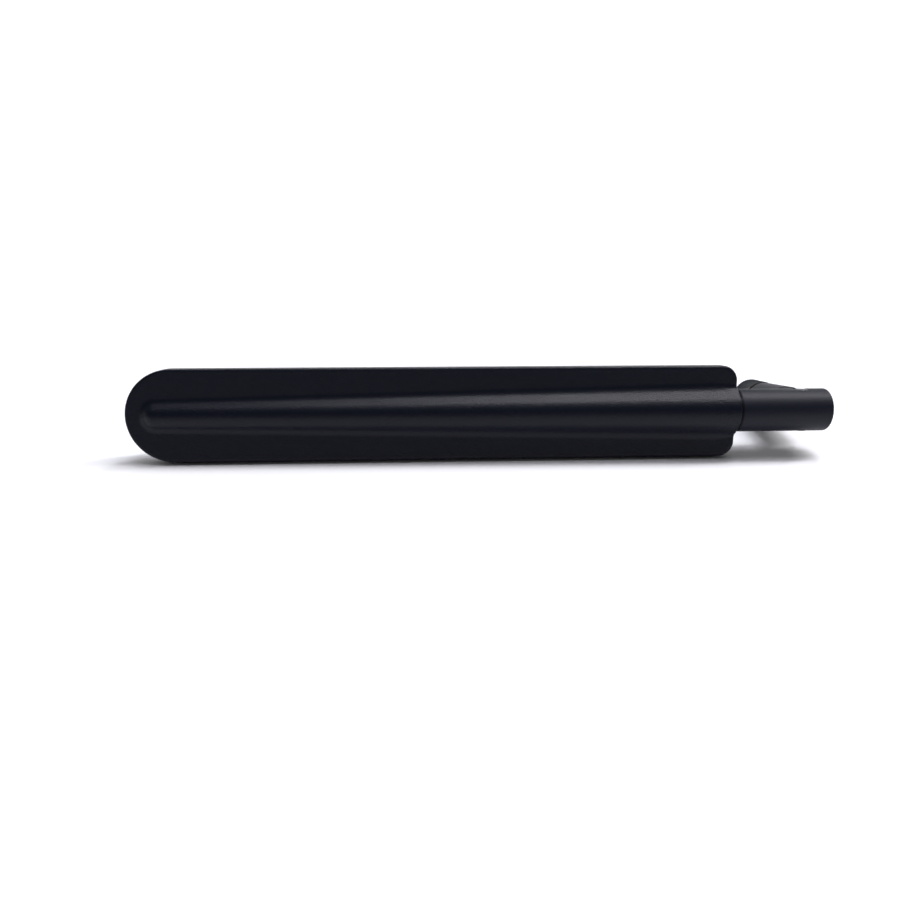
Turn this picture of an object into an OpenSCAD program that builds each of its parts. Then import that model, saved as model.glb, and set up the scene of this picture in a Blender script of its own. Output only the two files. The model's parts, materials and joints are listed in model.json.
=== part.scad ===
// Omnidirectional paddle antenna with a folding elbow and a swivelling screw connector.
// It is drawn along its own axes: X runs down the blade's centre line to the hinge, with X = 0 at the blade's
// base end, Y points to the rear and Z runs across the blade. The last step leans it back as it stands:
// on the lower edge of its blade and on its nut.

/* [Blade] */
// Length of the blade from its tip to its base end
blade_len = 148; // [120:1:180]
// Width of the blade
blade_w = 22.4; // [22:0.2:28]
// Thickness of the blade beside its rib
blade_t = 4.4; // [4.4:0.1:6]
// Rounding of the blade's rim
rim_r = 0.6; // [0.4:0.1:1.6]
// Rounding of the two corners at the blade's base
base_corner_r = 3.7; // [2.3:0.1:5]
// Wall of the two casing shells
shell_wall = 0.9; // [0.8:0.05:0.9]
// Wall at the base end, which grips the barrel's neck
end_wall = 2.4; // [1.8:0.1:3.2]
// Height of the locating lip round the front shell
lip_h = 0.8; // [0.4:0.1:1]
// Thickness of the locating lip
lip_t = 0.35; // [0.25:0.05:0.4]

/* [Rib] */
// Diameter of the rib at the blade's base
rib_base_d = 12; // [11:0.1:12.6]
// Diameter of the rib at its nose
rib_tip_d = 8.2; // [7.4:0.1:9.4]
// Distance from the blade's tip to the rib's nose
nose_inset = 3.4; // [2:0.1:8]
// Hollow fillet where the rib runs into the blade's face
rib_fillet_r = 1; // [0.6:0.1:2]
// Depth that the fillet's foot lies below the blade's face
fillet_sink = 0.15; // [0.1:0.05:0.4]

/* [Hinge barrel] */
// Diameter of the barrel
barrel_d = 10.6; // [10.4:0.1:11.4]
// Distance from the blade's base end to the fold's pivot
pivot_x = 17.2; // [15:0.1:20]
// Distance from the pivot to the barrel's end
barrel_reach = 6.2; // [5.8:0.1:6.4]
// Rounding of the barrel's end
barrel_edge_r = 0.6; // [0.3:0.1:1]
// Open seam between the blade and the barrel
seam_gap = 0.5; // [0.3:0.05:0.7]
// Diameter of the neck that passes through the blade's end wall
neck_d = 6.8; // [5:0.1:7.4]
// Diameter of the collar behind the end wall
collar_d = 8; // [7.6:0.1:8.2]
// Thickness of the collar and of its key
collar_t = 2; // [1.2:0.1:3]
// Width of the key that stops the barrel turning in the blade
key_w = 14; // [10:0.5:18]

/* [Fold hinge] */
// Width of the slot between the barrel's two ears
slot_w = 5.8; // [5.4:0.1:6.2]
// Diameter of the round end of the elbow's tongue
knuckle_d = 7.4; // [6.4:0.1:7.6]
// Radius about the pivot that the ears are rounded to at the rear
ear_r = 6.4; // [6.2:0.1:7]
// Width of the cable's channel through the tongue
channel_w = 2.4; // [2:0.1:2.8]
// Diameter of the two pivot pins
pin_d = 3; // [2.4:0.1:3.4]
// Diameter of the pins' heads
pin_head_d = 3.9; // [3.7:0.1:4.6]
// Thickness of the pins' heads
pin_head_t = 0.9; // [0.6:0.1:1.2]
// Depth of the pins' heads below the top of the barrel
pin_recess = 0.2; // [0.1:0.05:0.4]

/* [Elbow] */
// Diameter of the elbow at its shoulder
elbow_base_d = 10.2; // [9.8:0.1:10.6]
// Diameter of the elbow at its end
elbow_end_d = 9.6; // [8.8:0.1:10.2]
// Length of the elbow from its shoulder to its end
elbow_len = 14.5; // [13.5:0.1:18]
// Depth of the connector's seat in the elbow
seat_depth = 9.2; // [8.6:0.1:11]

/* [Connector] */
// Diameter of the connector's journal in the elbow
journal_d = 6.9; // [6.4:0.1:7.1]
// Diameter of the stem that the cable is crimped on
stem_d = 2.9; // [2.4:0.1:3.4]
// Length of that stem
stem_len = 2.6; // [2:0.1:3.2]
// Outside diameter of the crimp ferrule
ferrule_d = 3.8; // [3.6:0.1:5]
// Outside diameter of the swivel's open ring
swivel_ring_d = 7.8; // [7.5:0.1:8]
// Thickness of the swivel's open ring
swivel_ring_t = 0.7; // [0.5:0.05:0.9]
// Diameter of the neck that the nut turns on
nut_neck_d = 5.5; // [5.3:0.05:5.7]
// Diameter of the contact sleeve that enters the jack
sleeve_d = 4.56; // [4.5:0.01:4.6]
// Diameter of the land that the gasket sits on
gasket_land_d = 4.9; // [4.7:0.05:5.2]
// Diameter of the insulator
insulator_d = 4.1; // [3.8:0.02:4.14]
// Diameter of the centre conductor in the insulator
conductor_d = 1.28; // [1.1:0.02:1.4]
// Diameter of the centre contact past the insulator
contact_d = 0.92; // [0.9:0.01:0.94]
// Length of the centre contact past the sleeve's end
contact_out = 2.1; // [1.8:0.1:2.5]

/* [Nut] */
// Diameter of the coupling nut
nut_d = 9.9; // [9:0.1:10.4]
// Length of the coupling nut
nut_len = 7.8; // [7.6:0.1:9]
// Gap between the elbow and the nut
nut_gap = 0.3; // [0.2:0.05:0.8]
// Pitch diameter of the nut's inside thread
thread_d = 5.9; // [5.85:0.01:5.95]
// Length of the nut's plain bore behind the thread
nut_web = 2.2; // [2:0.1:2.8]
// Length of the nut past the sleeve's end
nut_overhang = 2.8; // [2.6:0.1:3.2]
// Chamfer at both ends of the nut
nut_chamfer = 0.25; // [0.2:0.05:0.6]
// Depth of the snap ring's groove in the nut
nut_groove = 0.35; // [0.25:0.05:0.5]
// Thickness of the nut's snap ring
nut_ring_t = 0.6; // [0.4:0.05:0.8]
// Thickness of the gasket
gasket_t = 0.8; // [0.5:0.1:1.2]

/* [Aerial] */
// Thickness of the printed board
board_t = 0.5; // [0.4:0.05:0.5]
// Width of the printed board
board_w = 17; // [16.4:0.2:18]
// Distance from the blade's base end to the board
board_inset = 11; // [8:0.5:16]
// Distance from the blade's tip to the board
board_tip_gap = 11; // [9:0.5:16]
// Thickness of the copper
copper_t = 0.1; // [0.05:0.01:0.12]
// Width of the copper radiators
radiator_w = 10; // [6:0.2:10.2]
// Distance from the board's ends to the copper
copper_margin = 2; // [1:0.1:4]
// Length of the lower radiator
lower_len = 46; // [36:1:54]
// Gap between the two radiators at the feed point
feed_gap = 3; // [2:0.1:4]
// Notches cut from each side of the upper radiator
notch_count = 5; // [3:1:7]
// Width of a notch
notch_w = 1.6; // [0.8:0.1:2.4]
// Depth of a notch
notch_d = 6.4; // [3:0.1:7]
// Diameter of the pegs that hold the board
peg_d = 2; // [1.6:0.1:2.2]
// Diameter of the bosses that take the pegs
boss_d = 3.6; // [3.2:0.1:3.8]
// Distance of the pegs from the centre line
peg_z = 7; // [6.9:0.05:7.2]
// Distance of the end pegs from the board's ends
peg_margin = 6; // [4:0.5:12]
// Pegs along the board
peg_count = 3; // [2:1:5]

/* [Cable] */
// Diameter of the coaxial cable
coax_d = 1.13; // [0.9:0.01:1.13]
// Diameter of the cable's core
core_d = 0.4; // [0.3:0.05:0.6]
// Length of the bare core at the feed point
core_len = 5; // [4:0.1:7]
// Bend of the cable in the fold
bend_r = 4; // [3.6:0.1:4.2]
// Radius of the two solder joints
solder_r = 1.5; // [1.2:0.1:1.8]

/* [Clearances] */
// Gap between pieces that are fixed to each other
seat_gap = 0.04; // [0.02:0.01:0.06]
// Radial gap of a turning fit
run_gap = 0.05; // [0.03:0.01:0.08]
// Gap beside the tongue in its slot
tongue_gap = 0.2; // [0.15:0.05:0.3]
// Gap between pieces that swing past each other
swing_gap = 0.3; // [0.25:0.05:0.5]
// Gap round the cable in its bores
cable_gap = 0.3; // [0.2:0.05:0.4]

/* [Hidden] */
$fn = 64;
// Cuts run past the faces that they open by this much
past = 1;
// Blade
blade_r = blade_w / 2;
cavity_half = blade_t / 2 - shell_wall;
boss_root = shell_wall / 2;
lip_step = 0.1;
lip_margin = shell_wall - lip_t - lip_step;
// Degrees that the blade's revolved ends run on into its straight bars
turn_lap = 10;
// Rib: the fillet's circle touches the rib's circle from outside, with its foot below the blade's face
rib_r = rib_base_d / 2;
fillet_y = blade_t / 2 - fillet_sink + rib_fillet_r;
fillet_z = sqrt(pow(rib_r + rib_fillet_r, 2) - pow(fillet_y, 2));
fillet_top = fillet_y * rib_r / (rib_r + rib_fillet_r);
rib_taper = rib_tip_d / rib_base_d;
nose_lap = 0.3;
nose_swell = 1.01;
nose_scale = rib_taper * nose_swell;
nose_half_w = sqrt(pow(nose_swell * rib_tip_d / 2, 2) - pow(blade_t / 2, 2));
nose_x = -blade_len + nose_inset + nose_half_w;
// Hinge
barrel_end = pivot_x + barrel_reach;
knuckle_r = knuckle_d / 2;
slot_r = knuckle_r + swing_gap;
tongue_t = slot_w - 2 * tongue_gap;
shoulder = max(ear_r, barrel_reach) + swing_gap;
pin_top = barrel_d / 2 - pin_recess;
pin_seat = pin_top - pin_head_t;
pin_tip = channel_w / 2 + seat_gap;
// Places along the connector's axis, counted from the pivot
elbow_end = shoulder + elbow_len;
seat_from = elbow_end - seat_depth;
stem_from = seat_from + 2 * seat_gap;
journal_from = stem_from + stem_len;
swivel_land = 1.1;
swivel_from = journal_from + swivel_land;
swivel_to = swivel_from + swivel_ring_t;
cup_inset = 1.2;
cup_len = 1.8;
cup_from = journal_from + cup_inset;
insulator_from = cup_from + cup_len;
nut_from = elbow_end + nut_gap;
nut_to = nut_from + nut_len;
neck_to = nut_from + nut_web;
nut_ring_from = nut_from + (nut_web - nut_ring_t) / 2;
nut_ring_to = nut_ring_from + nut_ring_t;
sleeve_to = nut_to - nut_overhang;
contact_to = sleeve_to + contact_out;
// Diameters inside the connector
swivel_groove = 0.75;
swivel_groove_d = journal_d - 2 * swivel_groove;
neck_groove = 0.35;
neck_groove_d = nut_neck_d - 2 * neck_groove;
chamber_d = 2.4;
cup_d = 1.6;
ring_slit = 1;
// Aerial
coax_bore_d = coax_d + 2 * cable_gap;
copper_y = coax_d / 2 + seat_gap;
board_y = copper_y + copper_t;
board_len = blade_len - board_inset - board_tip_gap;
lower_from = -board_inset - copper_margin;
lower_to = lower_from - lower_len;
upper_from = lower_to - feed_gap;
upper_to = -board_inset - board_len + copper_margin;
upper_len = upper_from - upper_to;
jacket_inset = 1;
jacket_end = lower_to + jacket_inset;
peg_step = (board_len - 2 * peg_margin) / (peg_count - 1);
peg_into_boss = 1.4;
// Stance: the floor touches the blade's lower rear rim and the nut's far edge
rim_y = blade_t / 2 - rim_r;
rim_z = blade_r - rim_r;
foot_y = nut_to - nut_chamfer - rim_y;
foot_z = rim_z - nut_d / 2;
lean = atan2(foot_z, foot_y) + asin(rim_r / norm([foot_y, foot_z]));
stance_z = rim_r + rim_y * sin(lean) + rim_z * cos(lean);
stance_front = max(rib_r, rim_y * cos(lean) + rim_z * sin(lean) + rim_r);
stance_back = nut_to * cos(lean) + (nut_d / 2 - nut_chamfer) * sin(lean);
stance = [(blade_len - barrel_end) / 2, (stance_front - stance_back) / 2, stance_z];

// Placing

module as_it_stands() {
    translate(stance) rotate([-lean, 0, 0]) children();
}

// Turns Z onto the blade's centre line, towards the hinge
module along_blade(x) {
    translate([x, 0, 0]) rotate([0, 90, 0]) children();
}

// Turns Z onto the connector's axis, counted from the pivot
module along_connector(u) {
    translate([pivot_x, u, 0]) rotate([-90, 0, 0]) children();
}

// Lays a flat outline, drawn along X and Z, between two depths
module plate_between(y_from, y_to) {
    translate([0, y_to, 0]) rotate([90, 0, 0]) linear_extrude(y_to - y_from) children();
}

module rod(d, u_from, u_to) {
    along_connector(u_from) cylinder(d = d, h = u_to - u_from);
}

module ring(d, bore, u_from, u_to) {
    difference() {
        rod(d, u_from, u_to);
        rod(bore, u_from - past, u_to + past);
    }
}

// A ring with a slit, so that it springs open
module open_ring(d, bore, u_from, u_to) {
    difference() {
        ring(d, bore, u_from, u_to);
        along_connector(u_from - past) translate([0, -ring_slit / 2, 0])
            cube([d, ring_slit, u_to - u_from + 2 * past]);
    }
}

module at_pegs() {
    for (i = [0 : peg_count - 1]) {
        side = i % 2 == 0 ? 1 : -1;
        translate([-board_inset - peg_margin - i * peg_step, 0, side * peg_z]) children();
    }
}

// Blade casing

// Half of the blade's cross-section, cut at its centre line and rounded at the rim
module half_section(width) {
    translate([0, -blade_t / 2]) square([width - rim_r, blade_t]);
    translate([0, -rim_y]) square([width, 2 * rim_y]);
    intersection() {
        translate([0, -blade_t]) square([width, 2 * blade_t]);
        for (side = [-1, 1]) translate([width - rim_r, side * rim_y]) circle(rim_r);
    }
}

module full_section(width) {
    half_section(width);
    mirror([1, 0]) half_section(width);
}

// The flat blade: a straight bar, a revolved tip, and a base bar with two revolved corners
module blade_plate() {
    straight = blade_len - blade_r - base_corner_r;
    corner_z = blade_r - base_corner_r;
    along_blade(-blade_len + blade_r) linear_extrude(straight) full_section(blade_r);
    translate([-blade_len + blade_r, 0, 0]) rotate([-90, 0, 0]) rotate([0, 0, 90 - turn_lap])
        rotate_extrude(angle = 180 + 2 * turn_lap) half_section(blade_r);
    translate([-base_corner_r, 0, -corner_z]) linear_extrude(2 * corner_z) full_section(base_corner_r);
    for (side = [0, 1]) mirror([0, 0, side]) translate([-base_corner_r, 0, -corner_z]) rotate([-90, 0, 0])
        rotate([0, 0, -turn_lap]) rotate_extrude(angle = 90 + 2 * turn_lap) half_section(base_corner_r);
}

// Cross-section of the rib at the blade's base, with its four hollow fillets
module rib_section() {
    circle(rib_r);
    difference() {
        square([2 * fillet_z, 2 * fillet_top], center = true);
        for (y = [-1, 1], z = [-1, 1]) translate([z * fillet_z, y * fillet_y]) circle(rib_fillet_r);
    }
}

// The tapering rib, with its rounded nose turned from the same cross-section
module rib() {
    rotate([0, -90, 0]) linear_extrude(-nose_x + nose_lap, scale = rib_taper) rib_section();
    translate([nose_x, 0, 0]) rotate([-90, 0, 0]) rotate([0, 0, 90]) rotate_extrude(angle = 180)
        scale(nose_scale) intersection() {
            rib_section();
            translate([0, -rib_r - past]) square(2 * (rib_r + past));
        }
}

// Outline of the blade, drawn in by a margin, with its base end drawn in by another
module blade_outline(margin, base_margin) {
    half_w = blade_r - margin;
    corner_r = base_corner_r - margin;
    straight = blade_len - blade_r - base_margin;
    translate([-blade_len + blade_r, 0]) {
        circle(half_w);
        translate([0, -half_w]) square([straight - corner_r, 2 * half_w]);
        translate([0, corner_r - half_w]) square([straight, 2 * (half_w - corner_r)]);
        for (side = [-1, 1]) translate([straight - corner_r, side * (half_w - corner_r)]) circle(corner_r);
    }
}

// The room inside: a flat one under the blade's faces and a tapering one under the rib
module casing_room() {
    rib_room_r = rib_r - shell_wall;
    nose_room_r = rib_tip_d / 2 - shell_wall;
    intersection() {
        union() {
            plate_between(-cavity_half, cavity_half) blade_outline(shell_wall, 0);
            along_blade(nose_x) cylinder(r1 = nose_room_r, r2 = rib_room_r, h = -nose_x);
        }
        translate([-blade_len - end_wall, -blade_w, -blade_w]) cube([blade_len, 2 * blade_w, 2 * blade_w]);
    }
}

module casing() {
    difference() {
        union() {
            blade_plate();
            rib();
        }
        casing_room();
        along_blade(-end_wall - past) cylinder(d = neck_d + 2 * seat_gap, h = end_wall + 2 * past);
    }
}

module casing_half(side) {
    reach = rib_r + past;
    intersection() {
        casing();
        translate([-blade_len - past, min(0, side * reach), -blade_r - past])
            cube([blade_len + 2 * past, reach, blade_w + 2 * past]);
    }
}

// A band along the blade's outline between two margins, open where the barrel's neck passes
module lip_band(outer, inner) {
    opening = neck_d + 4 * seat_gap;
    difference() {
        blade_outline(outer, outer);
        blade_outline(inner, inner);
        translate([-end_wall - past, -opening / 2]) square([end_wall + 2 * past, opening]);
    }
}

module front_shell() {
    boss_top = board_y - seat_gap;
    color("#14161b") as_it_stands() difference() {
        union() {
            casing_half(-1);
            plate_between(-boss_root, lip_h) lip_band(lip_margin, lip_margin + lip_t);
            at_pegs() translate([0, -cavity_half - boss_root, 0]) rotate([-90, 0, 0])
                cylinder(d = boss_d, h = cavity_half + boss_root + boss_top);
        }
        at_pegs() translate([0, boss_top - peg_into_boss - seat_gap, 0]) rotate([-90, 0, 0])
            cylinder(d = peg_d + 2 * seat_gap, h = peg_into_boss + seat_gap + past);
    }
}

module rear_shell() {
    pad_top = board_y + board_t + seat_gap;
    color("#14161b") as_it_stands() {
        difference() {
            casing_half(1);
            plate_between(-past, lip_h + seat_gap) lip_band(lip_margin - seat_gap, shell_wall + seat_gap);
        }
        at_pegs() {
            translate([0, cavity_half + boss_root, 0]) rotate([90, 0, 0])
                cylinder(d = boss_d, h = cavity_half + boss_root - pad_top);
            translate([0, cavity_half + boss_root, 0]) rotate([90, 0, 0])
                cylinder(d = peg_d, h = cavity_half + boss_root - board_y + peg_into_boss);
        }
    }
}

// Aerial

module antenna_board() {
    color("#2e5c3c") as_it_stands() difference() {
        plate_between(board_y, board_y + board_t)
            translate([-board_inset - board_len, -board_w / 2]) square([board_len, board_w]);
        at_pegs() rotate([-90, 0, 0]) cylinder(d = peg_d + 2 * seat_gap, h = blade_t);
    }
}

// A broad arm with notches from both sides in turn, which lengthen the path of the current
module upper_radiator() {
    notch_step = upper_len / (2 * notch_count + 1);
    color("#c77b43") as_it_stands() plate_between(copper_y, board_y) difference() {
        translate([upper_to, -radiator_w / 2]) square([upper_len, radiator_w]);
        for (i = [1 : 2 * notch_count]) {
            low = i % 2 == 0 ? -radiator_w / 2 - past : radiator_w / 2 - notch_d;
            translate([upper_to + i * notch_step - notch_w / 2, low]) square([notch_w, notch_d + past]);
        }
    }
}

// A sleeve arm: two legs beside the cable, joined at the feed point
module lower_radiator() {
    leg_gap = coax_bore_d;
    color("#c77b43") as_it_stands() plate_between(copper_y, board_y) difference() {
        translate([lower_to, -radiator_w / 2]) square([lower_len, radiator_w]);
        translate([lower_to + 2 * solder_r + past, -leg_gap / 2]) square([lower_len, leg_gap]);
    }
}

// One joint holds the cable's braid on the lower arm, the other its core on the upper arm
module feed_solder() {
    color("#b9bcc0") as_it_stands() {
        difference() {
            solder_dome(jacket_end + solder_r);
            along_blade(jacket_end - past) cylinder(d = coax_d, h = 2 * solder_r + 2 * past);
        }
        difference() {
            solder_dome(upper_from - solder_r);
            along_blade(jacket_end - core_len - past) cylinder(d = core_d, h = core_len + past);
        }
    }
}

module solder_dome(x) {
    intersection() {
        translate([x, copper_y, 0]) sphere(solder_r);
        translate([x - solder_r, copper_y - solder_r, -solder_r])
            cube([2 * solder_r, solder_r, 2 * solder_r]);
    }
}

// Cable

module coax_feed() {
    color("#26272b") as_it_stands() {
        along_blade(jacket_end) cylinder(d = coax_d, h = pivot_x - bend_r - jacket_end);
        along_blade(jacket_end - core_len) cylinder(d = core_d, h = core_len + past);
    }
}

module coax_bend() {
    color("#26272b") as_it_stands() translate([pivot_x - bend_r, bend_r, 0]) rotate([0, 0, -90])
        rotate_extrude(angle = 90) translate([bend_r, 0]) circle(d = coax_d);
}

module coax_tail() {
    color("#26272b") as_it_stands() {
        rod(coax_d, bend_r, journal_from);
        rod(core_d, journal_from - past, insulator_from - seat_gap);
    }
}

// Hinge

// The barrel before it is cut: a turned body, a neck and a collar, with a key on the collar
module barrel_blank() {
    body_len = barrel_end - seam_gap;
    collar_from = -end_wall - seat_gap - collar_t;
    key_t = 2 * (cavity_half - seat_gap);
    along_blade(seam_gap) rotate_extrude() {
        square([barrel_d / 2 - barrel_edge_r, body_len]);
        square([barrel_d / 2, body_len - barrel_edge_r]);
        translate([barrel_d / 2 - barrel_edge_r, body_len - barrel_edge_r]) circle(barrel_edge_r);
    }
    along_blade(collar_from) cylinder(d = neck_d, h = seam_gap - collar_from + past);
    along_blade(collar_from) cylinder(d = collar_d, h = collar_t);
    translate([collar_from, -key_t / 2, -key_w / 2]) cube([collar_t, key_t, key_w]);
}

// The room that the tongue needs from straight to folded, open at the rear and at the end
module slot_outline() {
    circle(slot_r);
    translate([-slot_r, 0]) square([slot_r + barrel_d, barrel_d]);
    translate([0, -slot_r]) square([barrel_d, slot_r + past]);
}

module hinge_barrel() {
    color("#26282f") as_it_stands() difference() {
        barrel_blank();
        translate([pivot_x, 0, -slot_w / 2]) linear_extrude(slot_w) slot_outline();
        translate([pivot_x, 0, -barrel_d]) linear_extrude(2 * barrel_d) difference() {
            square(barrel_d);
            circle(ear_r);
        }
        along_blade(-end_wall - collar_t - past)
            cylinder(d = coax_bore_d, h = end_wall + collar_t + past + pivot_x);
        translate([pivot_x, 0, -barrel_d]) cylinder(d = pin_d + 2 * seat_gap, h = 2 * barrel_d);
        for (side = [0, 1]) mirror([0, 0, side])
            translate([pivot_x, 0, pin_seat]) cylinder(d = pin_head_d + 2 * seat_gap, h = barrel_d);
    }
}

module pivot_pins() {
    color("#33353c") as_it_stands() for (side = [0, 1]) mirror([0, 0, side]) {
        translate([pivot_x, 0, pin_tip]) cylinder(d = pin_d, h = pin_top - pin_tip);
        translate([pivot_x, 0, pin_seat + seat_gap]) cylinder(d = pin_head_d, h = pin_head_t - seat_gap);
    }
}

// Elbow

// The tongue before it is cut: a round knuckle on the pivot and a root in the elbow's shoulder
module tongue_outline() {
    circle(knuckle_r);
    translate([-knuckle_r, 0]) square([knuckle_d, shoulder + past]);
}

module elbow_body() {
    color("#2a2b33") as_it_stands() difference() {
        union() {
            along_connector(shoulder) cylinder(d1 = elbow_base_d, d2 = elbow_end_d, h = elbow_len);
            translate([pivot_x, 0, -tongue_t / 2]) linear_extrude(tongue_t) tongue_outline();
        }
        translate([pivot_x - knuckle_d, -knuckle_d, -channel_w / 2])
            cube([2 * knuckle_d, knuckle_d + shoulder, channel_w]);
        translate([pivot_x, 0, -slot_w]) cylinder(d = pin_d + 2 * run_gap, h = 2 * slot_w);
        rod(coax_bore_d, 0, elbow_end);
        rod(journal_d + 2 * run_gap, seat_from, elbow_end + past);
        rod(swivel_ring_d + 2 * run_gap, swivel_from - run_gap, swivel_to + run_gap);
    }
}

// Connector

module connector_body() {
    color("#b48a4a") as_it_stands() difference() {
        union() {
            rod(stem_d, stem_from, journal_from + past);
            rod(journal_d, journal_from, elbow_end);
            rod(nut_neck_d, elbow_end - past, neck_to);
            rod(gasket_land_d, neck_to - past, neck_to + gasket_t);
            rod(sleeve_d, neck_to - past, sleeve_to);
        }
        ring(journal_d + past, swivel_groove_d, swivel_from - seat_gap, swivel_to + seat_gap);
        ring(nut_neck_d + past, neck_groove_d, nut_ring_from - seat_gap, nut_ring_to + seat_gap);
        rod(coax_d + 2 * seat_gap, 0, cup_from);
        rod(chamber_d, journal_from + seat_gap, insulator_from + past);
        rod(insulator_d + 2 * seat_gap, insulator_from - seat_gap, sleeve_to + past);
    }
}

module crimp_ferrule() {
    color("#a9abb0") as_it_stands()
        ring(ferrule_d, stem_d + 2 * seat_gap, stem_from + seat_gap, journal_from - seat_gap);
}

module swivel_ring() {
    color("#8f9298") as_it_stands()
        open_ring(swivel_ring_d, swivel_groove_d + 2 * seat_gap, swivel_from, swivel_to);
}

module insulator() {
    color("#f1efe8") as_it_stands() ring(insulator_d, conductor_d + 2 * seat_gap, insulator_from, sleeve_to);
}

// The contact's cup takes the cable's core, and its tip is tapered
module center_pin() {
    taper = contact_d / 2;
    color("#d6a94a") as_it_stands() difference() {
        union() {
            rod(cup_d, cup_from, insulator_from - seat_gap);
            rod(conductor_d, cup_from, sleeve_to);
            rod(contact_d, cup_from, contact_to - taper);
            along_connector(contact_to - taper) cylinder(d1 = contact_d, d2 = contact_d / 2, h = taper);
        }
        rod(core_d + 2 * seat_gap, cup_from - past, insulator_from);
    }
}

module gasket() {
    color("#c8c6bf") as_it_stands()
        ring(thread_d - 2 * run_gap, gasket_land_d + 2 * seat_gap, neck_to, neck_to + gasket_t);
}

// Nut

module nut_ring() {
    color("#8f9298") as_it_stands()
        open_ring(nut_neck_d + nut_groove, neck_groove_d + 2 * seat_gap, nut_ring_from, nut_ring_to);
}

module coupling_nut() {
    neck_bore = nut_neck_d + 2 * run_gap;
    groove_d = neck_bore + 2 * nut_groove;
    chamfered_d = nut_d - 2 * nut_chamfer;
    color("#55564f") as_it_stands() difference() {
        union() {
            along_connector(nut_from) cylinder(d1 = chamfered_d, d2 = nut_d, h = nut_chamfer);
            rod(nut_d, nut_from + nut_chamfer, nut_to - nut_chamfer);
            along_connector(nut_to - nut_chamfer) cylinder(d1 = nut_d, d2 = chamfered_d, h = nut_chamfer);
        }
        rod(neck_bore, nut_from - past, nut_to);
        rod(thread_d, neck_to - seat_gap, nut_to + past);
        rod(groove_d, nut_ring_from - run_gap, nut_ring_to + run_gap);
        along_connector(nut_to - nut_chamfer)
            cylinder(d1 = thread_d, d2 = thread_d + 2 * nut_chamfer + past, h = nut_chamfer + past / 2);
    }
}

front_shell();
rear_shell();
antenna_board();
upper_radiator();
lower_radiator();
feed_solder();
coax_feed();
hinge_barrel();
pivot_pins();
coax_bend();
elbow_body();
coax_tail();
crimp_ferrule();
connector_body();
swivel_ring();
insulator();
center_pin();
nut_ring();
gasket();
coupling_nut();
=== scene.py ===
"""Looks of the folding paddle antenna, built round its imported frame.

Sizes are in millimetres along the antenna's own axes, as in the part's source: X runs down the blade to
the hinge with zero at the blade's base end, Y points to the rear and Z runs across the blade. The function
placed() leans them back as the antenna stands and turns them into metres.
"""
import json
import math

import bmesh
import bpy
import numpy as np
from mathutils import Matrix, Vector

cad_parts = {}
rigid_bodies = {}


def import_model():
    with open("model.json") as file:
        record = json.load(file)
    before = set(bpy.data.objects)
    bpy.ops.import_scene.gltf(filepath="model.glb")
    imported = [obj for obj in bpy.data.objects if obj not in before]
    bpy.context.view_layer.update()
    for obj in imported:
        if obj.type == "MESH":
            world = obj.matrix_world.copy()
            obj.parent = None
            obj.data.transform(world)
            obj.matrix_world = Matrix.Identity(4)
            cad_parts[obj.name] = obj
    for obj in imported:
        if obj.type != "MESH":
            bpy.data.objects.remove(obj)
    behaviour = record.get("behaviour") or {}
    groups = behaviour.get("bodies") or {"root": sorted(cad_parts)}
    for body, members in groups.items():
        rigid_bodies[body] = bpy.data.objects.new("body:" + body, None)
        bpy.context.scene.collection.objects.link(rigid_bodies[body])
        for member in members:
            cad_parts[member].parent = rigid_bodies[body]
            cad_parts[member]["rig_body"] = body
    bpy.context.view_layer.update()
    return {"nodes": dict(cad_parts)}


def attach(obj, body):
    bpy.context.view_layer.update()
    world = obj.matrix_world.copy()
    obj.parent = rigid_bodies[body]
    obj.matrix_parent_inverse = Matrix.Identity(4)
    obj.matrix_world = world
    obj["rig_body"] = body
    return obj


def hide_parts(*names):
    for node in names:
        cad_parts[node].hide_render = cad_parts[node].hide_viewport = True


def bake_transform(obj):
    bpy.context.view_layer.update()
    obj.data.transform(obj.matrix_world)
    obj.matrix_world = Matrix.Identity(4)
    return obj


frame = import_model()

# Sizes of the blade, from the part's source
BLADE_LEN = 148.0
BLADE_R = 11.2
BLADE_HALF_T = 2.2
RIM_R = 0.6
BASE_CORNER_R = 3.7
SHELL_WALL = 0.9
END_WALL = 2.4
RIB_BASE_R = 6.0
RIB_TIP_R = 4.1
NOSE_INSET = 3.4
RIB_FILLET_R = 1.0
NECK_BORE_R = 3.44

# Sizes of the hinge, the cable and the connector, from the part's source
PIVOT_X = 17.2
SEAM_GAP = 0.5
BARREL_END = 23.4
CABLE_R = 0.565
CABLE_BEND_R = 4.0
NUT_R = 4.95
ELBOW_END = 21.2
NUT_FROM = 21.5
NUT_TO = 29.3
NUT_CHAMFER = 0.25
NUT_WEB_TO = 23.7
NECK_CLEAR_R = 2.8
THREAD_R = 2.95

# Finer detail that only the looks carry
SOFT_CREST_R = 5.14
SOFT_FILLET_R = 3.3
FLANK_ANGLE = math.radians(44)
FILLET_RUN_OUT = 5.0
FILLET_LOSS_AT_BASE = 0.55
RIM_RUN_OUT = 0.8
PARTING_CHAMFER = 0.12
RIB_EDGE_R = 0.15
SEAM_WIDER = 0.4
ELBOW_RIM_SHORTER = 0.7
ELBOW_RIM_R = 4.5
KNURL_TEETH = 56
KNURL_DEPTH = 0.2
NUT_FRONT_CHAMFER = 0.06
NUT_FRONT_RIM = 0.22
NUT_FRONT_RECESS = 1.0
NUT_HUB_WALL = 0.5
NUT_HUB_DRAFT = 0.1
NUT_EDGE_BREAK = 0.05
THREAD_PITCH = 0.7056
THREAD_DEPTH = 0.13
THREAD_LEAD = 0.3
THREAD_MOUTH = 0.7
THREAD_RELIEF = 1.0

MM_PER_M = 1000
# Tolerances in millimetres: how near to a plane or to a ring a point counts as on it
ON_PLANE = 0.01
ON_RING = 1e-6
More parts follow.
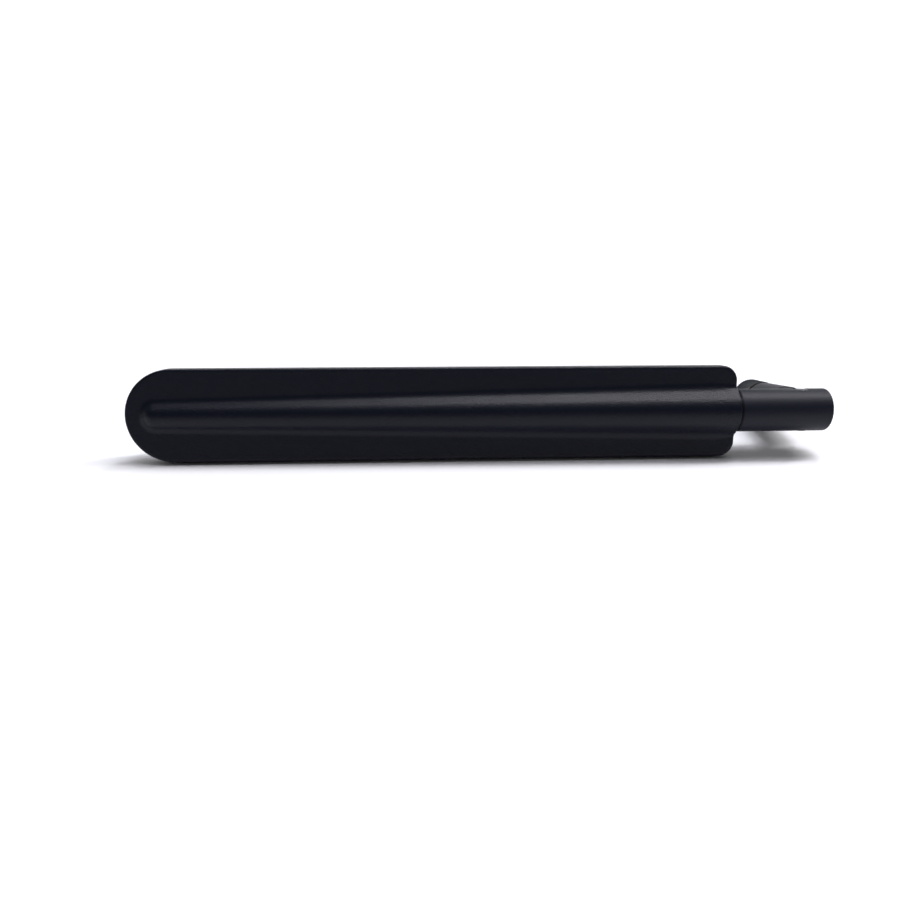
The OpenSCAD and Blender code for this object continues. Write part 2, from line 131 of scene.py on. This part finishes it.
# Tolerances in metres: points closer than this are joined, and edges shorter than this are dropped
JOIN_WITHIN = 2e-6
EMPTY_EDGE = 1e-7

TIP_X = BLADE_R - BLADE_LEN
RIM_Y = BLADE_HALF_T - RIM_R
CAVITY_HALF = BLADE_HALF_T - SHELL_WALL
CAVITY_R = BLADE_R - SHELL_WALL

# The stance: the floor touches the blade's lower rear rim and the nut's far edge
FOOT_Y = NUT_TO - NUT_CHAMFER - RIM_Y
FOOT_Z = BLADE_R - RIM_R - NUT_R
LEAN = math.atan2(FOOT_Z, FOOT_Y) + math.asin(RIM_R / math.hypot(FOOT_Y, FOOT_Z))
LEAN_SIN = math.sin(LEAN)
LEAN_COS = math.cos(LEAN)
FRONT_REACH = RIM_Y * LEAN_COS + (BLADE_R - RIM_R) * LEAN_SIN + RIM_R
BACK_REACH = NUT_TO * LEAN_COS + (NUT_R - NUT_CHAMFER) * LEAN_SIN
STANCE = np.array([
    (BLADE_LEN - BARREL_END) / 2,
    (max(RIB_BASE_R, FRONT_REACH) - BACK_REACH) / 2,
    RIM_R + RIM_Y * LEAN_SIN + (BLADE_R - RIM_R) * LEAN_COS,
])


def placed(points):
    """Own millimetres to metres in the frame: a turn about X by the lean, then a shift by the stance."""
    x, y, z = np.moveaxis(np.asarray(points, float), -1, 0)
    turned = np.stack([x, y * LEAN_COS + z * LEAN_SIN, z * LEAN_COS - y * LEAN_SIN], axis=-1)
    return (turned + STANCE) / MM_PER_M


def colour(hex_code):
    """An sRGB hex code as linear red, green, blue and alpha, by the sRGB curve."""
    parts = [int(hex_code[i:i + 2], 16) / 255 for i in (1, 3, 5)]
    return tuple(c / 12.92 if c <= 0.04045 else ((c + 0.055) / 1.055) ** 2.4 for c in parts) + (1.0,)


# Meshes

def grid_faces(rows, columns, first, wrap):
    """Quads between neighbouring nodes of a grid stored row by row, and round its columns if wrap is set."""
    index = first + np.arange(rows * columns).reshape(rows, columns)
    across = np.roll(index, -1, axis=1) if wrap else index[:, 1:]
    here = index if wrap else index[:, :-1]
    return np.stack([here[:-1], across[:-1], across[1:], here[1:]], axis=-1).reshape(-1, 4)


def piece(name, grids, body, nodes, sharp_deg=32):
    """Grids of own points, joined where they meet, become one closed object that rides on a body."""
    points = np.concatenate([g.reshape(-1, 3) for g, _ in grids])
    firsts = np.cumsum([0] + [g.shape[0] * g.shape[1] for g, _ in grids])
    faces = np.concatenate([grid_faces(g.shape[0], g.shape[1], f, w) for (g, w), f in zip(grids, firsts)])
    mesh = bpy.data.meshes.new(name)
    mesh.from_pydata(placed(points).tolist(), [], faces.tolist())
    return finish_piece(name, mesh, body, nodes, sharp_deg)


def finish_piece(name, mesh, body, nodes, sharp_deg):
    """Joins doubled points, drops empty faces, turns faces outwards and keeps edges sharper than an angle."""
    shape = bmesh.new()
    shape.from_mesh(mesh)
    bmesh.ops.remove_doubles(shape, verts=shape.verts, dist=JOIN_WITHIN)
    bmesh.ops.dissolve_degenerate(shape, edges=shape.edges, dist=EMPTY_EDGE)
    bmesh.ops.recalc_face_normals(shape, faces=shape.faces)
    shape.to_mesh(mesh)
    shape.free()
    mesh.shade_smooth()
    mesh.set_sharp_from_angle(angle=math.radians(sharp_deg))
    made = bpy.data.objects.new(name, mesh)
    bpy.context.scene.collection.objects.link(made)
    # A piece that blends between two bodies rides on neither
    if body:
        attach(made, body)
    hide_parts(*nodes)
    return made


# Blade

def eased(share):
    """A share kept between 0 and 1 and eased in and out: three times its square less twice its cube."""
    share = np.clip(share, 0, 1)
    return share ** 2 * (3 - 2 * share)


def rib_height(x, z):
    """Half thickness of the blade with its rib: a round crest, a straight flank, a concave fillet and the
    flat face, each of which touches the next. Crest and fillet shrink with the rib, the flank keeps its
    angle, and the fillet tightens close to the base end. Past the nose the same section turns about the
    nose's centre, so it is read at the distance from there."""
    size, reach = rib_size(x, z)
    radius = SOFT_CREST_R * size
    fillet = SOFT_FILLET_R * size * (1 - FILLET_LOSS_AT_BASE * eased(1 + x / FILLET_RUN_OUT))
    top = RIB_BASE_R * size
    sine = math.sin(FLANK_ANGLE)
    cosine = math.cos(FLANK_ANGLE)
    straight = (top - BLADE_HALF_T - (1 - cosine) * (radius + fillet)) * cosine / sine
    crest_end = sine * radius
    foot = crest_end + straight + sine * fillet
    crest = top - radius + np.sqrt(np.maximum(radius ** 2 - reach ** 2, 0))
    flank = top - (1 - cosine) * radius - (reach - crest_end) * sine / cosine
    hollow = BLADE_HALF_T + fillet - np.sqrt(np.maximum(fillet ** 2 - (foot - reach) ** 2, 0))
    inner = np.where(reach <= crest_end, crest, flank)
    return np.where(reach <= crest_end + straight, inner, np.where(reach < foot, hollow, BLADE_HALF_T))


def rib_size(x, z):
    """The rib's size as a share of that at its base, falling evenly to the nose, and the distance from its
    centre line or, past the nose's centre, from that centre. The nose's centre is set so that the solid's
    fillet ends at the inset from the tip."""
    taper = RIB_TIP_R / RIB_BASE_R
    fillet = RIB_FILLET_R * taper
    foot = math.sqrt((RIB_TIP_R + fillet) ** 2 - (BLADE_HALF_T + fillet) ** 2)
    nose_x = NOSE_INSET - BLADE_LEN + foot
    return 1 + (taper - 1) * np.clip(x / nose_x, 0, 1), np.hypot(np.minimum(x - nose_x, 0), z)


def edge_distance(x, z):
    """Distance inwards from the blade's outline: straight sides, round tip, rounded base corners."""
    side = BLADE_R - np.abs(z)
    corner = BASE_CORNER_R - np.hypot(np.maximum(BASE_CORNER_R + x, 0), np.maximum(BASE_CORNER_R - side, 0))
    base = np.where((-x < BASE_CORNER_R) & (side < BASE_CORNER_R), corner, np.minimum(side, -x))
    return np.where(x < TIP_X, BLADE_R - np.hypot(x - TIP_X, z), base)


def round_drop(distance, radius):
    """Drop of a quarter-round edge at a distance from it."""
    near = radius - np.clip(distance, 0, radius)
    return radius - np.sqrt(radius ** 2 - near ** 2)


def outer_height(x, z):
    """Half thickness of the casing with its quarter-round rim, which runs out where the rib rises."""
    full = rib_height(x, z)
    on_rib = eased((full - BLADE_HALF_T) / RIM_RUN_OUT)
    edge = edge_distance(x, z)
    return full - round_drop(edge, RIM_R) * (1 - on_rib) - round_drop(-x, RIB_EDGE_R) * on_rib


def inner_height(x, z):
    """Half height of the room inside: flat under the faces, round under the rib."""
    size, reach = rib_size(x, z)
    radius = RIB_BASE_R * size - SHELL_WALL
    return np.maximum(np.sqrt(np.maximum(radius ** 2 - reach ** 2, 0)), CAVITY_HALF)


def base_end(r):
    """X of the base end's outline at a distance from the centre line: zero, then a quarter circle."""
    past = np.maximum(r - (BLADE_R - BASE_CORNER_R), 0)
    return np.sqrt(np.maximum(BASE_CORNER_R ** 2 - past ** 2, 0)) - BASE_CORNER_R


def casing_shell(side):
    """One half of the casing. A U-shaped path runs down one side of the blade, round its tip and back up
    the other side. At each station a profile runs from the centre line over the outside to the rim, down the
    rim to the parting plane, in to the room and back to the centre line. A second grid closes the base end,
    with half of the bore that the barrel's neck passes through."""
    quarter = np.linspace(0, math.pi / 2, 10)
    rim = BLADE_R - RIM_R * (1 - np.sin(quarter))
    # Rings lie close together over the rib and its fillet, and further apart on the flat face
    rib_reach = 8.4
    rings = np.unique(np.round(np.concatenate([
        np.linspace(0, rib_reach, 66), np.linspace(rib_reach, BLADE_R - RIM_R, 5),
        rim, [NECK_BORE_R, CAVITY_R],
    ]), 5))
    room = rings[rings <= CAVITY_R + ON_RING][::-1]
    # Stations lie close together at the base end, whose rounded corners they leave behind over this length
    corner_run = 9
    near_base = RIM_R * (1 - np.cos(quarter))
    offsets = np.concatenate([near_base[:-1], [1.5, 2.4, 4, 6, corner_run], np.linspace(13, -TIP_X, 32)])
    pull = np.clip(1 - offsets / corner_run, 0, 1)
    turns = np.linspace(0, math.pi, 73)[1:-1]

    def ring_path(r, start=None):
        """The U path at distance r. Its straight stations begin at the base end's outline, or at start if
        that is given."""
        x = base_end(r) * pull - offsets
        if start is not None:
            x = start + (TIP_X - start) * offsets / offsets[-1]
        up = np.stack([x, np.full_like(x, r)], axis=-1)
        tip = np.stack([TIP_X - r * np.sin(turns), r * np.cos(turns)], axis=-1)
        return np.concatenate([up, tip, up[::-1] * [1, -1]])

    outside = [ring_path(r) for r in rings]
    outside_y = [outer_height(p[:, 0], p[:, 1]) for p in outside]
    rim_path = ring_path(BLADE_R)
    drawn_in = ring_path(BLADE_R - PARTING_CHAMFER, -BASE_CORNER_R)
    inside = [ring_path(r, -END_WALL) for r in room]
    inside_y = [inner_height(p[:, 0], p[:, 1]) for p in inside]
    paths = outside + [rim_path, drawn_in, inside[0]] + inside
    level = np.zeros(len(rim_path))
    heights = outside_y + [level + PARTING_CHAMFER, level, level] + inside_y
    skin = np.stack([
        np.stack([p[:, 0], side * h, p[:, 1]], axis=-1) for p, h in zip(paths, heights)
    ])

    z = np.concatenate([-rings[:0:-1], rings])
    r = np.abs(z)
    x = base_end(r)
    bore = np.sqrt(np.maximum(NECK_BORE_R ** 2 - r ** 2, 0))
    plain = bore == 0
    centre_r = np.minimum(r, BLADE_R - BASE_CORNER_R)
    shrink = np.where(plain, 1 - PARTING_CHAMFER / BASE_CORNER_R, 1)
    inset_x = (x + BASE_CORNER_R) * shrink - BASE_CORNER_R
    inset_z = np.sign(z) * (centre_r + (r - centre_r) * shrink)
    wall_z = np.clip(z, -CAVITY_R, CAVITY_R)
    wall_y = np.where(r <= CAVITY_R + ON_RING, inner_height(np.full_like(r, -END_WALL), wall_z), 0)
    back = np.full_like(x, -END_WALL)
    rows = [
        (x, outer_height(x, z), z),
        (x, np.where(plain, PARTING_CHAMFER, bore), z),
        (inset_x, bore, inset_z),
        (back, bore, wall_z),
        (back, wall_y, wall_z),
    ]
    end = np.stack([np.stack([a, side * b, c], axis=-1) for a, b, c in rows])
    return [(skin, False), (end, False)]


front_shell = piece("blade_front", casing_shell(-1), "antenna_blade", ["front_shell"])
rear_shell = piece("blade_rear", casing_shell(1), "antenna_blade", ["rear_shell"])


# Connector's nut

def knurled_nut():
    """A closed profile turned about the connector's axis. Its outside radius falls by a rounded tooth wave
    round the axis that fades out on the rear chamfer, its front is hollowed behind a thin rim, and its bore
    follows a helical wave as a thread."""
    points_per_tooth = 8
    tooth_power = 1.5
    angles = np.linspace(0, 2 * math.pi, KNURL_TEETH * points_per_tooth, endpoint=False)
    tooth = KNURL_DEPTH * (0.5 - 0.5 * np.cos(KNURL_TEETH * angles)) ** tooth_power
    hub = NECK_CLEAR_R + NUT_HUB_WALL
    recess = NUT_FROM + NUT_FRONT_RECESS
    rim = NUT_R - NUT_FRONT_RIM
    chamfer = NUT_TO - NUT_CHAMFER
    thread_end = NUT_WEB_TO + THREAD_RELIEF
    # The knurl is drawn in rows this far from the front, and this share of it is left on the rear chamfer
    knurl_rows = (2.5, 5)
    knurl_left = 0.2
    # Each row is a place along the axis, a radius, and the shares of knurl and of thread
    outside = [
        (NUT_FROM, NECK_CLEAR_R, 0, 0),
        (NUT_FROM, hub, 0, 0),
        (recess, hub + NUT_HUB_DRAFT, 0, 0),
        (recess, rim, 0, 0),
        (NUT_FROM, rim, 0, 0),
        (NUT_FROM, NUT_R - NUT_FRONT_CHAMFER, 1, 0),
        (NUT_FROM + NUT_FRONT_CHAMFER, NUT_R, 1, 0),
        *((NUT_FROM + row, NUT_R, 1, 0) for row in knurl_rows),
        (chamfer, NUT_R, 1, 0),
        (NUT_TO - NUT_EDGE_BREAK, NUT_R - NUT_CHAMFER, knurl_left, 0),
        (NUT_TO, NUT_R - NUT_CHAMFER - NUT_EDGE_BREAK, 0, 0),
        (NUT_TO, THREAD_R + THREAD_MOUTH, 0, 0),
        (chamfer, THREAD_R + THREAD_LEAD, 0, 0),
    ]
    bore = [(u, THREAD_R, 0, 1) for u in np.linspace(chamfer - THREAD_LEAD, thread_end, 62)]
    closing = [
        (thread_end - NUT_EDGE_BREAK, THREAD_R, 0, 0),
        (NUT_WEB_TO, THREAD_R, 0, 0),
        (NUT_WEB_TO, NECK_CLEAR_R, 0, 0),
        (NUT_FROM, NECK_CLEAR_R, 0, 0),
    ]
    u, r, knurled, threaded = (np.array(c, float)[:, None] for c in zip(*(outside + bore + closing)))
    turn = (u / THREAD_PITCH + angles / (2 * math.pi)) % 1
    wave = 2 * np.abs(2 * turn - 1) - 1
    radius = r - knurled * tooth + threaded * THREAD_DEPTH * wave
    return [(np.stack([
        PIVOT_X + radius * np.cos(angles), u + 0 * angles, radius * np.sin(angles),
    ], axis=-1), True)]


nut = piece("knurled_nut", knurled_nut(), "nut", ["coupling_nut"], sharp_deg=40)


# Cable

def cable_bend():
    """A round section carried along a quarter circle through the fold, closed by a fan at both ends."""
    steps = 33
    turn = np.linspace(0, math.pi / 2, steps)[:, None]
    angles = np.linspace(0, 2 * math.pi, 32, endpoint=False)
    radius = np.concatenate([[0], np.full(steps, CABLE_R), [0]])[:, None]
    turn = np.concatenate([turn[:1], turn, turn[-1:]])
    reach = CABLE_BEND_R + radius * np.cos(angles)
    return [(np.stack([
        PIVOT_X - CABLE_BEND_R + reach * np.sin(turn),
        CABLE_BEND_R - reach * np.cos(turn),
        radius * np.sin(angles) + 0 * turn,
    ], axis=-1), True)]


bend = piece("cable_in_fold", cable_bend(), None, ["coax_bend"])
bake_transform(bend)


# Turned and moulded pieces whose solids already have the right shape

def smooth_copy(node):
    """The solid's own triangles, joined at their shared points and shaded smooth between its sharp edges,
    with each point's normal led by its largest faces."""
    source = frame["nodes"][node]
    mesh = source.data.copy()
    mesh.materials.clear()
    made = finish_piece(node + "_smooth", mesh, source["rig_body"], [node], sharp_deg=28)
    weigh = made.modifiers.new("largest_faces_lead", "WEIGHTED_NORMAL")
    weigh.keep_sharp = True
    weigh.weight = 100
    return made


smooth = {n: smooth_copy(n) for n in (
    "hinge_barrel", "pivot_pins", "elbow_body", "connector_body", "insulator", "center_pin", "gasket",
)}


def draw_back(made, foot, axis, end, shift, beyond=0.0):
    """Moves the points of a flat end along its axis, where they lie further from the axis than a radius.
    The axis runs through a foot point, and all sizes are in own millimetres."""
    flat = np.empty(3 * len(made.data.vertices))
    made.data.vertices.foreach_get("co", flat)
    x, y, z = (flat.reshape(-1, 3) * MM_PER_M - STANCE).T
    own = np.stack([x, y * LEAN_COS - z * LEAN_SIN, y * LEAN_SIN + z * LEAN_COS], axis=-1)
    run = np.array(axis, float)
    away = own - np.array(foot, float)
    along = away @ run
    radius = np.linalg.norm(away - along[:, None] * run, axis=1)
    at_end = np.abs(along - end) < ON_PLANE
    own[at_end & (radius > beyond)] += shift * run
    made.data.vertices.foreach_set("co", placed(own).ravel())
    made.data.update()


# The barrel's near end and the rim of the elbow's far end draw back a little, so that both seams show as
# dark lines
draw_back(smooth["hinge_barrel"], [0, 0, 0], [1, 0, 0], SEAM_GAP, SEAM_WIDER)
draw_back(smooth["elbow_body"], [PIVOT_X, 0, 0], [0, 1, 0], ELBOW_END, -ELBOW_RIM_SHORTER, ELBOW_RIM_R)


# Materials

# The two colours and the result of a mix node, which share their names with its other sockets
MIX_DARK = 6
MIX_LIGHT = 7
MIX_RESULT = 2

# Sizes of the patterns in millimetres, where the weave has about three threads in its size
PLASTIC_DRIFT = 14
METAL_DRIFT = 3
WEAVE_SIZE = 3.0
WEAVE_DEPTH = 0.02
FLOOR_DRIFT = 60

# How far roughness swings to either side
PLASTIC_SPREAD = 0.07
METAL_SPREAD = 0.06


def add(tree, kind, settings=None, **links):
    """Adds a node, sets its own values and its named inputs, and links inputs that are given a socket."""
    node = tree.nodes.new(kind)
    for key, value in (settings or {}).items():
        setattr(node, key, value)
    for key, value in links.items():
        socket = node.inputs[key.replace("_", " ")]
        if isinstance(value, bpy.types.NodeSocket):
            tree.links.new(value, socket)
        else:
            socket.default_value = value
    return node


def surface(name, **shader):
    """A new material whose shader's named sockets take plain values, with its tree and that shader."""
    made = bpy.data.materials.new(name)
    made.use_nodes = True
    tree = made.node_tree
    principled = tree.nodes["Principled BSDF"]
    for key, value in shader.items():
        principled.inputs[key.replace("_", " ")].default_value = value
    return made, tree, principled


def put(material, *objects):
    """The only material of each object."""
    for made in objects:
        made.data.materials.clear()
        made.data.materials.append(material)


def two_tones(tree, shader, share, hex_dark, hex_light):
    """Colours a shader between a dark and a light tone by the share that a pattern gives."""
    tone = add(tree, "ShaderNodeMix", {"data_type": "RGBA"}, Factor=share)
    tone.inputs[MIX_DARK].default_value = colour(hex_dark)
    tone.inputs[MIX_LIGHT].default_value = colour(hex_light)
    tree.links.new(tone.outputs[MIX_RESULT], shader.inputs["Base Color"])


def per_mm(size):
    """Texture scale in object units, which are metres, for a pattern of about this size in millimetres."""
    return MM_PER_M / size


def plastic(name, hex_dark, hex_light, rough, grain, depth, specular, edge=0.0):
    """Moulded or cut plastic: a broad drift of tone, a fine grain in bump and roughness, and softened edges.
    The grain's size and depth and the edge's radius are in millimetres."""
    made, tree, shader = surface(name, Specular_IOR_Level=specular)
    where = add(tree, "ShaderNodeTexCoord").outputs["Object"]
    drift = add(tree, "ShaderNodeTexNoise", Vector=where, Scale=per_mm(PLASTIC_DRIFT), Detail=2.0)
    fine = add(tree, "ShaderNodeTexNoise", Vector=where, Scale=per_mm(grain), Detail=2.0, Roughness=0.6)
    two_tones(tree, shader, drift.outputs["Fac"], hex_dark, hex_light)
    uneven = add(tree, "ShaderNodeMapRange", Value=fine.outputs["Fac"],
                 To_Min=rough - PLASTIC_SPREAD, To_Max=rough + PLASTIC_SPREAD)
    bump = add(tree, "ShaderNodeBump", Height=fine.outputs["Fac"], Strength=1.0, Distance=depth / MM_PER_M)
    if edge:
        soft_edge = add(tree, "ShaderNodeBevel", {"samples": 6}, Radius=edge / MM_PER_M)
        tree.links.new(soft_edge.outputs["Normal"], bump.inputs["Normal"])
    tree.links.new(uneven.outputs["Result"], shader.inputs["Roughness"])
    tree.links.new(bump.outputs["Normal"], shader.inputs["Normal"])
    return made


def metal(name, hex_dark, hex_light, rough, axis, pitch, depth, edge_tint="#ffffff"):
    """Bare or plated metal: a drift of tone, uneven roughness, and the tool's fine marks along an axis.
    The marks' pitch and depth are in millimetres, and the edge tint colours what is seen at a slant."""
    made, tree, shader = surface(name, Metallic=1.0, Specular_Tint=colour(edge_tint))
    where = add(tree, "ShaderNodeTexCoord").outputs["Object"]
    drift = add(tree, "ShaderNodeTexNoise", Vector=where, Scale=per_mm(METAL_DRIFT), Detail=3.0)
    two_tones(tree, shader, drift.outputs["Fac"], hex_dark, hex_light)
    uneven = add(tree, "ShaderNodeMapRange", Value=drift.outputs["Fac"],
                 To_Min=rough - METAL_SPREAD, To_Max=rough + METAL_SPREAD)
    along = add(tree, "ShaderNodeVectorMath", {"operation": "DOT_PRODUCT"})
    tree.links.new(where, along.inputs[0])
    along.inputs[1].default_value = axis
    marks = add(tree, "ShaderNodeTexNoise", {"noise_dimensions": "1D"}, W=along.outputs["Value"],
                Scale=per_mm(pitch), Detail=2.0)
    bump = add(tree, "ShaderNodeBump", Height=marks.outputs["Fac"], Strength=1.0, Distance=depth / MM_PER_M)
    tree.links.new(uneven.outputs["Result"], shader.inputs["Roughness"])
    tree.links.new(bump.outputs["Normal"], shader.inputs["Normal"])
    return made


def laminate(name, hex_dark, hex_light):
    """Printed board: a lacquer over woven glass cloth, whose crossed threads show in tone and bump."""
    made, tree, shader = surface(name, Roughness=0.32, Coat_Weight=0.3, Coat_Roughness=0.15)
    where = add(tree, "ShaderNodeTexCoord").outputs["Object"]
    cloth = add(tree, "ShaderNodeMath", {"operation": "MULTIPLY"})
    for socket, across in zip(cloth.inputs, "XZ"):
        threads = add(tree, "ShaderNodeTexWave", {"bands_direction": across}, Vector=where,
                      Scale=per_mm(WEAVE_SIZE), Distortion=0.6)
        tree.links.new(threads.outputs["Fac"], socket)
    two_tones(tree, shader, cloth.outputs["Value"], hex_dark, hex_light)
    bump = add(tree, "ShaderNodeBump", Height=cloth.outputs["Value"], Strength=0.5,
               Distance=WEAVE_DEPTH / MM_PER_M)
    tree.links.new(bump.outputs["Normal"], shader.inputs["Normal"])
    return made


BLADE_AXIS = (1.0, 0.0, 0.0)
CONNECTOR_AXIS = (0.0, LEAN_COS, -LEAN_SIN)

# A black body with a dull sheen: light from above spreads into a broad grey band along the rib. The etched
# grain, finer on a real moulding, is drawn coarser so that it can be seen
shell_plastic = plastic("moulded_abs_etched_black", "#050916", "#070b1a",
                        rough=0.37, grain=0.32, depth=0.085, specular=0.195)
# A shade lighter and duller than the blade, with a flatter grain
hinge_plastic = plastic("moulded_nylon_blue_black", "#060a18", "#080c1d",
                        rough=0.5, grain=0.32, depth=0.035, specular=0.24, edge=0.12)
# Dark pin heads that stand out a little from the barrel by their smoother skin
pin_plastic = plastic("moulded_acetal_dark", "#0d0e12", "#121318",
                      rough=0.45, grain=0.6, depth=0.006, specular=0.45, edge=0.1)
# A smooth black skin with a soft gleam along the cable
cable_jacket = plastic("extruded_fluoropolymer_black", "#121316", "#191a1e",
                       rough=0.38, grain=1.2, depth=0.006, specular=0.45)
# A waxy white plug, evenly dull
white_plug = plastic("turned_ptfe_white", "#e9e7e0", "#f3f1ea",
                     rough=0.5, grain=0.5, depth=0.004, specular=0.35, edge=0.06)
# A pale, dull, slightly dusty ring
rubber = plastic("moulded_silicone_grey", "#aaa79e", "#bab7ae",
                 rough=0.68, grain=0.35, depth=0.008, specular=0.3, edge=0.06)
# Dark grey metal, dull enough that its knurl shows as small soft glints
nut_metal = metal("turned_brass_black_nickel", "#545557", "#606163",
                  rough=0.44, axis=CONNECTOR_AXIS, pitch=0.25, depth=0.004, edge_tint="#828486")
# Warm bright metal with the lathe's fine rings
gold = metal("turned_brass_gold_plated", "#cfa04c", "#e2b866",
             rough=0.24, axis=CONNECTOR_AXIS, pitch=0.12, depth=0.002)
# Pinkish metal that has dulled in patches
copper = metal("etched_copper_foil", "#b8764f", "#d99a72",
               rough=0.34, axis=BLADE_AXIS, pitch=0.3, depth=0.001)
# Bright grey beads with a soft, slightly wavy skin
solder = metal("cooled_tin_solder", "#a9acb0", "#c6c9cc",
               rough=0.28, axis=BLADE_AXIS, pitch=0.8, depth=0.01)
# Cold grey metal with drawn streaks
spring = metal("drawn_spring_steel", "#8f9296", "#b0b3b7",
               rough=0.32, axis=CONNECTOR_AXIS, pitch=0.1, depth=0.002)
# A green lacquer over a faint weave; the real weave of 0.4 mm is drawn coarser so that it can be seen
board_laminate = laminate("lacquered_glass_laminate", "#174a2c", "#22633c")

put(shell_plastic, front_shell, rear_shell)
put(hinge_plastic, smooth["hinge_barrel"], smooth["elbow_body"])
put(pin_plastic, smooth["pivot_pins"])
put(cable_jacket, bend, frame["nodes"]["coax_feed"], frame["nodes"]["coax_tail"])
put(white_plug, smooth["insulator"])
put(rubber, smooth["gasket"])
put(nut_metal, nut)
put(gold, smooth["connector_body"], smooth["center_pin"])
put(copper, frame["nodes"]["upper_radiator"], frame["nodes"]["lower_radiator"])
put(solder, frame["nodes"]["feed_solder"])
put(spring, frame["nodes"]["crimp_ferrule"], frame["nodes"]["swivel_ring"], frame["nodes"]["nut_ring"])
put(board_laminate, frame["nodes"]["antenna_board"])


# Stage, light and camera

WHITE = (1.0, 1.0, 1.0, 1.0)
SMOOTH_STEP = {"interpolation_type": "SMOOTHSTEP"}

# The panels' aim and size in millimetres
PANEL_AIM = Vector((40, -12, 10))
PANEL_WIDTH = 200
PANEL_LENGTH = 1300


def plain_floor():
    """A wide flat white sheet under the antenna that glows further out, so that it stays white far away."""
    reach = 4.0
    mesh = bpy.data.meshes.new("floor")
    corners = [(-reach, -reach, 0), (reach, -reach, 0), (reach, reach, 0), (-reach, reach, 0)]
    mesh.from_pydata(corners, [], [(0, 1, 2, 3)])
    made = bpy.data.objects.new("floor", mesh)
    bpy.context.scene.collection.objects.link(made)
    acrylic, tree, shader = surface("matt_white_acrylic", Roughness=0.9, Specular_IOR_Level=0.1)
    where = add(tree, "ShaderNodeTexCoord").outputs["Object"]
    cloud = add(tree, "ShaderNodeTexNoise", Vector=where, Scale=per_mm(FLOOR_DRIFT), Detail=1.0)
    two_tones(tree, shader, cloud.outputs["Fac"], "#f4f4f7", "#f7f7f9")
    away = add(tree, "ShaderNodeVectorMath", {"operation": "LENGTH"}, Vector=where)
    glow = add(tree, "ShaderNodeMapRange", SMOOTH_STEP, Value=away.outputs["Value"],
               From_Min=0.15, From_Max=0.5, To_Min=0.0, To_Max=1.1)
    shader.inputs["Emission Color"].default_value = WHITE
    tree.links.new(glow.outputs["Result"], shader.inputs["Emission Strength"])
    mesh.materials.append(acrylic)


def softbox(name, centre, watts, tint):
    """A long rectangular light at a place in millimetres that faces the antenna."""
    light = bpy.data.lights.new(name, "AREA")
    light.shape = "RECTANGLE"
    light.size = PANEL_WIDTH / MM_PER_M
    light.size_y = PANEL_LENGTH / MM_PER_M
    light.energy = watts
    light.color = colour(tint)[:3]
    made = bpy.data.objects.new(name, light)
    bpy.context.scene.collection.objects.link(made)
    made.location = Vector(centre) / MM_PER_M
    made.rotation_mode = "QUATERNION"
    made.rotation_quaternion = (PANEL_AIM - Vector(centre)).to_track_quat("-Z", "Y")


def studio_room():
    """The room round the table: white low down at the rear, dim overhead, dark at the front. What is seen
    of it directly is a plain white backdrop all round."""
    world = bpy.data.worlds.new("studio_room")
    bpy.context.scene.world = world
    world.use_nodes = True
    tree = world.node_tree
    toward = add(tree, "ShaderNodeTexCoord").outputs["Generated"]
    direction = add(tree, "ShaderNodeSeparateXYZ", Vector=toward)
    rear = add(tree, "ShaderNodeMapRange", SMOOTH_STEP, Value=direction.outputs["Y"],
               From_Min=-0.1, From_Max=0.35, To_Min=0.0, To_Max=1.0)
    low = add(tree, "ShaderNodeMapRange", SMOOTH_STEP, Value=direction.outputs["Z"],
              From_Min=0.15, From_Max=0.6, To_Min=1.06, To_Max=0.25)
    overhead = add(tree, "ShaderNodeMapRange", SMOOTH_STEP, Value=direction.outputs["Z"],
                   From_Min=0.5, From_Max=0.95, To_Min=0.09, To_Max=0.28)
    light = add(tree, "ShaderNodeMath", {"operation": "MULTIPLY_ADD"})
    for socket, source in zip(light.inputs, (rear, low, overhead)):
        tree.links.new(source.outputs["Result"], socket)
    seen = add(tree, "ShaderNodeLightPath").outputs["Is Camera Ray"]
    shown = add(tree, "ShaderNodeMath", {"operation": "MAXIMUM"})
    tree.links.new(light.outputs["Value"], shown.inputs[0])
    tree.links.new(seen, shown.inputs[1])
    back = tree.nodes["Background"]
    back.inputs["Color"].default_value = WHITE
    tree.links.new(shown.outputs["Value"], back.inputs["Strength"])


plain_floor()
studio_room()
# Two long soft panels overhead, one further to the right, that draw the elbow's double shadow
softbox("left_panel", (210, 200, 1400), watts=12.4, tint="#f5f5ff")
softbox("right_panel", (880, 200, 1400), watts=18.6, tint="#fdfcfd")

# The camera's place in millimetres and its three directions
CAMERA_PLACE = Vector((-18.175, -190.602, 78.48))
CAMERA_RIGHT = Vector((0.998602, -0.051975, 0.00961))
CAMERA_AHEAD = Vector((0.051535, 0.917036, -0.39546))
CAMERA_UP = Vector((0.011742, 0.395403, 0.918433))
lens = bpy.data.cameras.new("camera")
lens.sensor_width = 36.0
lens.lens = 31.213
lens.clip_start = 0.01
lens.clip_end = 20.0
camera = bpy.data.objects.new("camera", lens)
bpy.context.scene.collection.objects.link(camera)
axes = Matrix((CAMERA_RIGHT, CAMERA_UP, -CAMERA_AHEAD)).transposed()
camera.matrix_world = Matrix.Translation(CAMERA_PLACE / MM_PER_M) @ axes.to_4x4()
bpy.context.scene.camera = camera
bpy.context.scene.view_settings.view_transform = "Standard"
